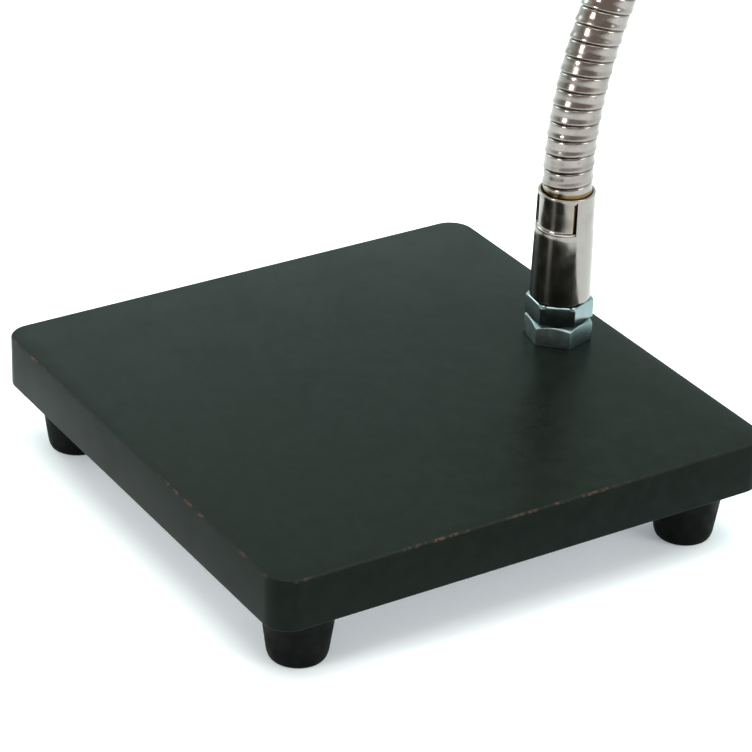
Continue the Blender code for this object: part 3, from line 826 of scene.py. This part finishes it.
def build_feet():
    for node in sorted(foot_screws()):
        where = node.removeprefix("foot_screw_")
        matrix = axis_of(node)
        top = SLAB_LOW.z / MM
        foot = [
            (SCREW_BORE, top - 0.05),
            (10.2, top - 0.05, 0.35),
            (9.95, top - 1.6, 0.5),
            (7.95, 1.6, 1.2),
            (7.3, 0.0, 0.7),
            (5.6, 0.0, 0.35),
            (5.2, 1.2, 0.3),
            (5.2, top - 5.8, 0.5),
            (SCREW_BORE, top - 5.8, 0.2),
        ]
        rubber = lathe("rubber_foot_" + where, foot, matrix, 96, steps=5, smooth_angle=50)
        finish_piece(rubber, BASE, "foot_rubber", "foot_" + where)
        low, high = heights("foot_washer_" + where)
        ring = [(SCREW_BORE, low, 0.1), (4.6, low, 0.25), (4.6, high, 0.25), (SCREW_BORE, high, 0.1)]
        finish_piece(lathe("washer_" + where, ring, matrix, 64), BASE, "zinc_plate", "foot_washer_" + where)
        low, high = heights(node)
        head = [
            (0, low + 2.6),
            (3.8, low + 2.6, 0.3),
            (3.8, low + 1.1, 0.9),
            (2.6, low, 0.8),
            (0, low),
        ]
        screw_head = lathe("head", head, matrix, 64, closed=False, steps=6)
        carve(screw_head, cross_recess(matrix, low))
        shank = threaded("shank", 2.0, 0, low + 2.5, high, pitch=0.7, depth=0.38, matrix=matrix)
        screw = join("screw_" + where, [screw_head, shank])
        shade(screw.data, 50)
        finish_piece(screw, BASE, "zinc_plate", node)


# ---------------------------------------------------------------- stem


def nut_object(name, node, flats, corner_angle, start_share, ease, both_faces):
    """A hexagon nut. Its cones begin at start_share of its half width, and ease rounds its edges."""
    low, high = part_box(node)
    half = flats / 2 * MM
    fillet = 0.45 * MM
    tilt = math.tan(math.radians(30))
    start = half * start_share
    ease = ease * MM
    centre = (half - fillet) / math.cos(math.pi / 6)
    tangent = math.pi / 6 - math.atan((half - fillet) * math.tan(math.pi / 6) / half)

    def side(angle):
        away = (angle - corner_angle + math.pi / 6) % (math.pi / 3) - math.pi / 6
        if abs(away) > tangent:
            return half / math.cos(math.pi / 6 - abs(away))
        return centre * math.cos(away) + math.sqrt(fillet**2 - (centre * math.sin(away)) ** 2)

    def drop(radius):
        return max(0.0, radius - start) * tilt

    def face_rows(face, way, cone):
        """Rows from the side wall over the rounded edge and the cone to the bore, for one face."""

        def at(radius_of, extra):
            def row(angle):
                radius = radius_of(angle)
                return radius, face - way * ((drop(radius) if cone else 0.0) + extra)

            return row

        def cone_top(angle):
            return min(start, side(angle) - ease - 0.02 * MM)

        def halfway(angle):
            return (side(angle) - ease + cone_top(angle)) / 2

        chamfer = 0.7 * MM
        return [
            at(side, ease),
            at(lambda angle: side(angle) - ease * 0.12, ease * 0.45),
            at(lambda angle: side(angle) - ease * 0.45, ease * 0.12),
            at(lambda angle: side(angle) - ease, 0.0),
            at(halfway, 0.0),
            at(cone_top, 0.0),
            at(lambda angle: STEM_BORE * MM + chamfer, 0.0),
            at(lambda angle: STEM_BORE * MM, chamfer),
        ]

    rows = list(reversed(face_rows(low.z, -1, both_faces))) + face_rows(high.z, 1, True)
    angles = [math.tau * step / 240 for step in range(240)]
    return polar_grid(name, angles, rows, axis_of(node), 24.0)


def build_nuts():
    lower = nut_object("nut_lower", "base_nut", LOWER_NUT_FLATS, LOWER_NUT_TURN, 0.965, 0.22, False)
    finish_piece(lower, BASE, "zinc_plate", "base_nut")
    lower.data.materials[0] = DULL_ZINC
    upper = nut_object("nut_upper", "lock_nut", UPPER_NUT_FLATS, UPPER_NUT_TURN, 1.06, 0.6, False)
    finish_piece(upper, BASE, "zinc_plate", "lock_nut")
    under = nut_object("nut_under", "under_nut", LOWER_NUT_FLATS, 0.0, 0.965, 0.22, True)
    finish_piece(under, BASE, "zinc_plate", "under_nut")
    low, high = heights("under_washer")
    ring = [(STEM_BORE, low, 0.1), (9.0, low, 0.3), (9.0, high, 0.3), (STEM_BORE, high, 0.1)]
    washer = lathe("washer_under", ring, axis_of("under_washer"), 72)
    finish_piece(washer, BASE, "zinc_plate", "under_washer")
    low, high = heights("threaded_nipple")
    place = axis_of("threaded_nipple")
    nipple = threaded("nipple", 4.85, 3.6, low, high, pitch=1.0, depth=0.5, matrix=place, steps=64)
    finish_piece(nipple, BASE, "zinc_plate", "threaded_nipple")


def build_ferrule():
    """The chromed collar on the nipple: a body, a soft shoulder and a neck with two milled recesses."""
    low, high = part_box("lower_ferrule")
    bottom = low.z / MM
    top = high.z / MM
    neck_start = bottom + FERRULE_NECK
    neck_low, neck_high = FERRULE_NECK_RADII
    outline = rounded(
        [
            (FERRULE_BORE, bottom, 0.3),
            (FERRULE_RADIUS, bottom, 0.5),
            (8.13, bottom + FERRULE_SHOULDER, 0.9),
            (neck_low, neck_start, 0.15),
            (neck_high, top, 0.35),
            (MOUTH_RADIUS, top, 0.25),
            (MOUTH_RADIUS, top - MOUTH_DEPTH, 0.2),
            (FERRULE_BORE, top - MOUTH_DEPTH),
        ],
        steps=5,
    )
    points = [(r * MM, z * MM) for r, z in outline]
    recess_low = low.z + RECESS_LOW
    recess_high = high.z - RECESS_BELOW_RIM

    def floor_radius(height, radius):
        """The recess's radius at a height: a scoop at its lower end, a short step at its upper one."""
        if not recess_low <= height <= recess_high:
            return radius
        if height < recess_low + RECESS_SCOOP:
            share = 1 - (height - recess_low) / RECESS_SCOOP
            return RECESS_RADIUS + (radius - RECESS_RADIUS) * (1 - math.sqrt(max(0.0, 1 - share**2)))
        return RECESS_RADIUS

    def recessed(angle, height, radius):
        for turn in (0.0, math.pi):
            away = abs((angle - RECESS_DIRECTION - turn + math.pi) % math.tau - math.pi)
            inside = RECESS_HALF_ANGLE - away
            if inside <= 1e-5:
                continue
            floor = floor_radius(height, radius)
            grooved = recess_low + RECESS_SCOOP * 0.5 < height < high.z - GROOVE_BELOW_RIM
            if grooved and inside < RECESS_GROOVE_ANGLE:
                return min(floor, RECESS_GROOVE)
            return floor
        return radius

    levels = [recess_low + RECESS_SCOOP * (1 - math.cos(math.pi / 2 * step / 10)) for step in range(11)]
    straight = recess_high - recess_low - RECESS_SCOOP
    levels += [recess_low + RECESS_SCOOP + straight * k / 4 for k in (1, 2, 3)]
    levels += [high.z - GROOVE_BELOW_RIM - 0.01 * MM, high.z - GROOVE_BELOW_RIM + 0.1 * MM]
    levels = sorted(levels) + [recess_high, recess_high + 0.08 * MM]
    first = max(index for index, (r, z) in enumerate(points) if r > RECESS_RADIUS and z < recess_low) + 1
    taper = (neck_high - neck_low) / (top - neck_start)
    points[first:first] = [((neck_low + taper * (z / MM - neck_start)) * MM, z) for z in levels]
    outside = {z for r, z in points if r > RECESS_RADIUS + 0.4 * MM}
    rows = []
    for radius, height in points:

        def row(angle, radius=radius, height=height):
            if height in outside and radius > RECESS_RADIUS:
                return recessed(angle, height, radius), height
            return radius, height

        rows.append(row)
    angles = {round(math.tau * step / 180, 6) for step in range(180)}
    groove_walls = (RECESS_GROOVE_ANGLE - 0.004, RECESS_GROOVE_ANGLE + RECESS_WALL_ANGLE)
    for turn in (0.0, math.pi):
        for way in (-1, 1):
            for inward in (0.0, RECESS_WALL_ANGLE, *groove_walls):
                corner = way * (RECESS_HALF_ANGLE - inward)
                angles.add(round((RECESS_DIRECTION + turn + corner) % math.tau, 6))
    ferrule = polar_grid("ferrule", sorted(angles), rows, axis_of("lower_ferrule"), 32.0)
    finish_piece(ferrule, BASE, "chrome_plate", "lower_ferrule")
    ferrule.data.materials[0] = FERRULE_CHROME


# ---------------------------------------------------------------- neck


class Centreline:
    """The neck's middle line at rest: a clamped cubic spline from the ferrule's mouth to the head."""

    def __init__(self, points, first_way, last_way):
        self.points = np.array(points)
        chords = np.linalg.norm(np.diff(self.points, axis=0), axis=1)
        self.knots = np.concatenate([[0.0], np.cumsum(chords)])
        count = len(points)
        system = np.zeros((count, count))
        right = np.zeros((count, 3))
        system[0, 0] = system[-1, -1] = 1.0
        right[0] = first_way
        right[-1] = last_way
        for i in range(1, count - 1):
            before, after = chords[i - 1], chords[i]
            system[i, i - 1] = after
            system[i, i] = 2 * (before + after)
            system[i, i + 1] = before
            slopes = (self.points[i] - self.points[i - 1]) / before * after
            slopes += (self.points[i + 1] - self.points[i]) / after * before
            right[i] = 3 * slopes
        self.ways = np.linalg.solve(system, right)

    def at(self, distance):
        """The point and direction at a distance along the line, run on straight past its ends."""
        if distance <= 0:
            return self.points[0] + self.ways[0] * distance, self.ways[0]
        if distance >= self.knots[-1]:
            return self.points[-1] + self.ways[-1] * (distance - self.knots[-1]), self.ways[-1]
        i = int(np.searchsorted(self.knots, distance) - 1)
        span = self.knots[i + 1] - self.knots[i]
        t = (distance - self.knots[i]) / span
        a, b = self.points[i], self.points[i + 1]
        m, n = self.ways[i] * span, self.ways[i + 1] * span
        place = (2 * t**3 - 3 * t**2 + 1) * a + (t**3 - 2 * t**2 + t) * m
        place = place + (3 * t**2 - 2 * t**3) * b + (t**3 - t**2) * n
        way = (6 * t**2 - 6 * t) * (a - b) + (3 * t**2 - 4 * t + 1) * m + (3 * t**2 - 2 * t) * n
        return place, way / np.linalg.norm(way)


def head_way():
    """The head's direction: square to X and to the last joint's axis."""
    return Vector(JOINTS[-1]["axis"]).cross(Vector((1, 0, 0))).normalized()


def neck_line():
    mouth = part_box("lower_ferrule")[1]
    centre = axis_of("lower_ferrule").translation
    start = Vector((centre.x, centre.y, mouth.z - MOUTH_DEPTH * MM))
    bend = start + Vector((0, 0, 4.0 * MM))
    last = Vector(JOINTS[-1]["pos_m"])
    places = [start, bend] + [Vector(joint["pos_m"]) for joint in JOINTS] + [last + head_way() * 14.7 * MM]
    return Centreline([tuple(p) for p in places], (0, 0, 1), tuple(head_way()))


def hose_piece(name, line, first, last):
    """The strip's turns from mesh step first to last, closed at both ends along the strip's edge."""
    rows = len(HOSE_OUTLINE)
    turn = HOSE_STEPS

    def place(step, share, radius):
        distance = (step / turn + share) * HOSE_PITCH
        angle = math.tau * step / turn
        centre, way = line.at(distance)
        across = np.cross(way, (1.0, 0.0, 0.0))
        return centre + radius * (math.cos(angle) * np.array((1.0, 0.0, 0.0)) + math.sin(angle) * across)

    vertices = []
    outer = {}
    inner = {}
    for step in range(first, last + turn + 1):
        count = rows if step <= last else 1
        for row in range(count):
            share, radius = HOSE_OUTLINE[row]
            outer[step, row] = len(vertices)
            vertices.append(place(step, share, radius * MM))
        inner[step] = len(vertices)
        vertices.append(place(step, 0.0, HOSE_BORE))
    for step in range(first, last + 1):
        outer[step, rows] = outer[step + turn, 0]
    faces = []
    for step in range(first, last):
        for row in range(rows):
            faces.append(
                (outer[step, row], outer[step + 1, row], outer[step + 1, row + 1], outer[step, row + 1])
            )
        faces.append((inner[step], inner[step + turn], inner[step + turn + 1], inner[step + 1]))
    for step in range(first, first + turn):
        faces.append((outer[step, 0], inner[step], inner[step + 1], outer[step + 1, 0]))
    for step in range(last, last + turn):
        faces.append((outer[step, 0], outer[step + 1, 0], inner[step + 1], inner[step]))
    for step in (first, last):
        faces.append([outer[step, row] for row in range(rows + 1)] + [inner[step + turn], inner[step]])
    return new_object(name, vertices, faces, 75.0)


def cut_level(piece, mouth):
    """Cuts the strip's first turn off level with the floor of the ferrule's mouth."""
    reach = 12 * MM
    low = (mouth[0] - reach, mouth[1] - reach, mouth[2] - reach)
    high = (mouth[0] + reach, mouth[1] + reach, mouth[2] + 0.15 * MM)
    carve(piece, [box_object("below_mouth", low, high)])
    shade(piece.data, 75.0)


def build_neck():
    line = neck_line()
    knots = [0.0] + [line.knots[index + 2] for index in range(len(JOINTS))]
    middles = [0.0] + [(a + b) / 2 for a, b in zip(knots[1:], knots[2:])] + [line.knots[-1]]
    steps = [round(distance / HOSE_PITCH * HOSE_STEPS) for distance in middles]
    steps[0] -= HOSE_STEPS
    steps[-1] -= HOSE_STEPS
    for number, joint in enumerate(JOINTS):
        piece = hose_piece(f"hose_{number + 1:02d}", line, steps[number], steps[number + 1])
        if number == 0:
            cut_level(piece, line.points[0])
        dress(piece, HOSE_STRIP)
        nodes = [f"neck_link_{number + 1:02d}"]
        if number == len(JOINTS) - 1:
            nodes.append(f"neck_link_{number + 2:02d}")
        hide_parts(*nodes)
        bend_over(piece, line, middles[number], middles[number + 1])
        lead = lead_piece(f"lead_{number + 2:02d}", line, middles[number], middles[number + 1])
        bend_over(lead, line, middles[number], middles[number + 1])
    build_lead_ends(line)


def bend_over(piece, line, start, end):
    """Bakes a piece of the neck's placement into its mesh."""
    tuple(line.at(start + 2.5 * MM)[0])
    tuple(line.at(end - 2.5 * MM)[0])
    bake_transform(piece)


def lead_piece(name, line, start, end):
    count = 10
    points = [Vector(line.at(start + (end - start) * step / count)[0]) for step in range(count + 1)]
    return dress(tube(name, points, LEAD_RADIUS, 12), MATERIALS["lead_jacket"])


def build_lead_ends(line):
    route = [Vector(p) * MM for p in LEAD_ROUTE]
    points = smooth_route(route, 6)
    mouth = Vector(line.at(0.0)[0])
    points += [points[-1].lerp(mouth, step / 4) for step in range(1, 5)]
    first = dress(tube("lead_01", points, LEAD_RADIUS, 12), MATERIALS["lead_jacket"])
    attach(first, BASE)
    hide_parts("neck_lead")
    low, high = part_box("preamp_board")
    start = Vector(line.at(line.knots[-1])[0])
    board = (low + high) / 2
    reach = (board - start).dot(head_way()) - 19.5 * MM
    points = [start + head_way() * reach * step / 4 for step in range(5)]
    last = dress(tube("lead_14", points, LEAD_RADIUS, 12), MATERIALS["lead_jacket"])
    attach(last, HEAD)


# ---------------------------------------------------------------- head


def head_matrix():
    """The head's own frame: Z along its axis from the last joint's centre."""
    turn = Vector((0, 0, 1)).rotation_difference(head_way()).to_matrix().to_4x4()
    return Matrix.Translation(Vector(JOINTS[-1]["pos_m"])) @ turn


def span_of(node):
    """(start, end) of a head node along the head's axis, in millimetres."""
    inverse = head_matrix().inverted()
    along = [(inverse @ vertex.co).z for vertex in frame["nodes"][node].data.vertices]
    return min(along) / MM, max(along) / MM


def build_head():
    matrix = head_matrix()
    start, end = span_of("upper_ferrule")
    collar = [
        (7.05, start, 0.25),
        (8.2, start, 0.4),
        (8.2, start + 5.6, 0.2),
        (7.9, start + 5.9, 0.15),
        (7.9, start + 6.9, 0.15),
        (8.2, start + 7.2, 0.2),
        (8.2, end, 0.3),
        (5.3, end, 0.2),
        (5.3, start + 6.0, 0.2),
        (7.05, start + 6.0, 0.2),
    ]
    finish_piece(lathe("collar", collar, matrix, 128), HEAD, "chrome_plate", "upper_ferrule")
    start, end = span_of("mic_barrel")
    barrel = [
        (3.0, start, 0.2),
        (8.8, start, 0.5),
        (9.15, start + 3.0, 1.0),
        (10.5, start + 9.7, 2.2),
        (10.5, start + 14.0, 0.2),
        (10.2, start + 14.2, 0.12),
        (10.2, start + 15.0, 0.12),
        (10.5, start + 15.2, 0.2),
        (10.5, end - 6.2, 0.2),
        (10.25, end - 6.0, 0.1),
        (10.25, end - 5.4, 0.1),
        (10.5, end - 5.2, 0.2),
        (10.5, end, 0.3),
        (9.2, end, 0.2),
        (9.2, start + 9.7, 0.4),
        (7.5, start + 3.0, 0.3),
        (3.0, start + 3.0, 0.2),
    ]
    finish_piece(lathe("barrel", barrel, matrix, 128), HEAD, "barrel_coat", "mic_barrel")
    start, end = span_of("grille_ring")
    ring = [(9.2, start, 0.2), (11.2, start, 0.5), (11.2, end, 0.5), (9.2, end, 0.2)]
    finish_piece(lathe("ring", ring, matrix, 128, steps=6), HEAD, "chrome_plate", "grille_ring")
    build_grille(matrix)
    build_foam(matrix)
    slots = {"capsule_mount": "capsule_rubber", "capsule": "capsule_shell", "preamp_board": "circuit_board"}
    for node, slot in slots.items():
        dress(frame["nodes"][node], MATERIALS[slot])


def build_grille(matrix):
    """Woven wire: a rolled sleeve of upright and ring wires, and a dome pressed from a flat square weave."""
    start, end = span_of("grille")
    shoulder = end * MM - DOME_HEIGHT
    start = start * MM
    pieces = []
    pitch = math.tau * GRILLE_RADIUS / UPRIGHT_WIRES
    ring_count = int((shoulder - start) / pitch)

    def on_sleeve(angle, height, lift):
        radius = GRILLE_RADIUS + lift
        return matrix @ Vector((radius * math.cos(angle), radius * math.sin(angle), height))

    for wire in range(UPRIGHT_WIRES):
        angle = math.tau * wire / UPRIGHT_WIRES
        points = []
        for step in range(ring_count * 3 + 1):
            height = start + pitch * step / 3
            points.append(on_sleeve(angle, height, WIRE_WAVE * math.cos(math.pi * (step / 3 - 0.5 + wire))))
        pieces.append(tube("wire", points, WIRE, 5))
    for ring in range(ring_count):
        height = start + pitch * (ring + 0.5)
        points = []
        for step in range(UPRIGHT_WIRES * 3 + 1):
            angle = math.tau * step / (UPRIGHT_WIRES * 3)
            points.append(on_sleeve(angle, height, -WIRE_WAVE * math.cos(math.pi * (step / 3 + ring))))
        pieces.append(tube("wire", points, WIRE, 5))

    def on_dome(u, v, lift):
        reach = math.hypot(u, v)
        tilt = reach / GRILLE_RADIUS
        radius = GRILLE_RADIUS + lift
        way = (u / reach, v / reach) if reach > 1e-9 else (0.0, 0.0)
        flat = radius * math.sin(tilt)
        return matrix @ Vector((way[0] * flat, way[1] * flat, shoulder + radius * math.cos(tilt)))

    edge = GRILLE_RADIUS * math.pi / 2
    lines = int(edge / pitch)
    for line in range(-lines, lines + 1):
        across = line * pitch
        half = math.sqrt(edge**2 - across**2)
        count = max(int(half / pitch), 1) * 3
        for swap in (False, True):
            points = []
            for step in range(-count, count + 1):
                along = half * step / count
                sign = -1 if swap else 1
                lift = sign * WIRE_WAVE * math.cos(math.pi * (along / pitch + line))
                u, v = (along, across) if swap else (across, along)
                points.append(on_dome(u, v, lift))
            pieces.append(tube("wire", points, WIRE, 5))
    weave = join("grille_weave", pieces)
    shade(weave.data, 80)
    finish_piece(weave, HEAD, "grille_wire", "grille")
    inner, outer = GRILLE_RADIUS / MM - 0.35, GRILLE_RADIUS / MM + 0.35
    low = shoulder / MM - 0.9
    band = [(inner, low, 0.1), (outer, low, 0.2), (outer, low + 1.8, 0.2), (inner, low + 1.8, 0.1)]
    finish_piece(lathe("grille_band", band, matrix, 128), HEAD, "grille_wire")


def build_foam(matrix):
    start, end = span_of("foam_liner")
    inner, outer = FOAM_RADII
    shoulder = end - outer
    outside = [(outer * math.cos(a), shoulder + outer * math.sin(a)) for a in np.linspace(0, 1.5, 14)]
    inside = [(inner * math.cos(a), shoulder + inner * math.sin(a)) for a in np.linspace(1.5, 0, 12)]
    corners = [(0.0, shoulder + inner)] + inside + [(inner, start, 0.3), (outer, start, 0.4)] + outside
    corners.append((0.0, shoulder + outer))
    foam = lathe("foam", corners, matrix, 72, closed=False)
    finish_piece(foam, HEAD, "grey_foam", "foam_liner")


# ---------------------------------------------------------------- inlet


def build_inlet():
    low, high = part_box("inlet_shell")
    middle = (low + high) / 2
    back, front = low.y / MM, high.y / MM
    shell = [
        (3.8, back, 0.15),
        (4.6, back, 0.2),
        (4.6, front - 1.2, 0.1),
        (5.3, front - 1.2, 0.1),
        (5.3, front, 0.35),
        (4.6, front, 0.2),
        (4.2, front - 0.25, 0.2),
        (3.8, front - 0.6, 0.2),
    ]
    finish_piece(lathe("socket_shell", shell, rearward(middle), 96), BASE, "zinc_plate", "inlet_shell")
    dress(frame["nodes"]["inlet_insulator"], MATERIALS["black_insulator"])
    for number in (1, 2, 3):
        node = f"inlet_pin_{number}"
        low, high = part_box(node)
        middle = (low + high) / 2
        start, end = low.y / MM, high.y / MM
        outline = [(0, start), (0.55, start, 0.1), (0.55, end, 0.5), (0, end)]
        pin = lathe(f"pin_{number}", outline, rearward(middle), 24, closed=False, steps=6)
        finish_piece(pin, BASE, "gold_plate", node)


# ---------------------------------------------------------------- stage


def build_stage():
    size = FLOOR_HALF_WIDTH
    corners = [(-size, -size, 0), (size, -size, 0), (size, size, 0), (-size, size, 0)]
    floor = new_object("floor", corners, [(0, 1, 2, 3)])
    floor.data.materials.append(floor_material())
    build_world()
    bpy.context.scene.view_settings.view_transform = "Standard"
    for light in LIGHTS:
        softbox(*light)


def build_world():
    """A room that is pale at the back and overhead, and dark and brownish towards the front."""
    world = bpy.data.worlds.new("studio")
    world.use_nodes = True
    tree = world.node_tree
    way = tree.nodes.new("ShaderNodeTexCoord").outputs["Generated"]
    facing = tree.nodes.new("ShaderNodeVectorMath")
    facing.operation = "DOT_PRODUCT"
    tree.links.new(way, facing.inputs[0])
    facing.inputs[1].default_value = ROOM_FRONT
    share = tree.nodes.new("ShaderNodeMapRange")
    share.interpolation_type = "SMOOTHSTEP"
    tree.links.new(facing.outputs["Value"], share.inputs[0])
    share.inputs[1].default_value = -0.35
    share.inputs[2].default_value = 0.55
    mix = tree.nodes.new("ShaderNodeMix")
    mix.data_type = "RGBA"
    tree.links.new(share.outputs[0], mix.inputs[0])
    mix.inputs[6].default_value = (*ROOM_PALE, 1.0)
    mix.inputs[7].default_value = (*ROOM_DARK, 1.0)
    tree.links.new(mix.outputs[2], tree.nodes["Background"].inputs["Color"])
    bpy.context.scene.world = world


def softbox(name, place, size, power, colour):
    """A square light that faces the object."""
    light = bpy.data.lights.new(name, "AREA")
    light.shape = "SQUARE"
    light.size = size
    light.energy = power
    light.color = colour
    lamp = bpy.data.objects.new(name, light)
    lamp.location = place
    lamp.rotation_mode = "QUATERNION"
    lamp.rotation_quaternion = (-Vector(place)).to_track_quat("-Z", "Y")
    bpy.context.scene.collection.objects.link(lamp)


def build_camera():
    azimuth, elevation = CAMERA_AZIMUTH, CAMERA_ELEVATION
    back = Vector(
        (
            math.sin(azimuth) * math.cos(elevation),
            -math.cos(azimuth) * math.cos(elevation),
            math.sin(elevation),
        )
    )
    right = Vector((math.cos(azimuth), math.sin(azimuth), 0))
    up = back.cross(right)
    tilted_right = right * math.cos(CAMERA_ROLL) + up * math.sin(CAMERA_ROLL)
    tilted_up = up * math.cos(CAMERA_ROLL) - right * math.sin(CAMERA_ROLL)
    camera = bpy.data.objects.new("camera", bpy.data.cameras.new("camera"))
    camera.data.sensor_width = SENSOR_MM
    camera.data.lens = SENSOR_MM * FOCAL_WIDTHS
    camera.data.shift_x, camera.data.shift_y = CAMERA_SHIFT
    camera.data.clip_start = 0.01
    camera.matrix_world = Matrix.Translation(CAMERA_TARGET + back * CAMERA_DISTANCE) @ Matrix(
        (
            (tilted_right.x, tilted_up.x, back.x, 0),
            (tilted_right.y, tilted_up.y, back.y, 0),
            (tilted_right.z, tilted_up.z, back.z, 0),
            (0, 0, 0, 1),
        )
    )
    bpy.context.scene.collection.objects.link(camera)
    bpy.context.scene.camera = camera


build_camera()
build_stage()
build_slab()
build_cover()
build_feet()
build_nuts()
build_ferrule()
build_neck()
build_head()
build_inlet()
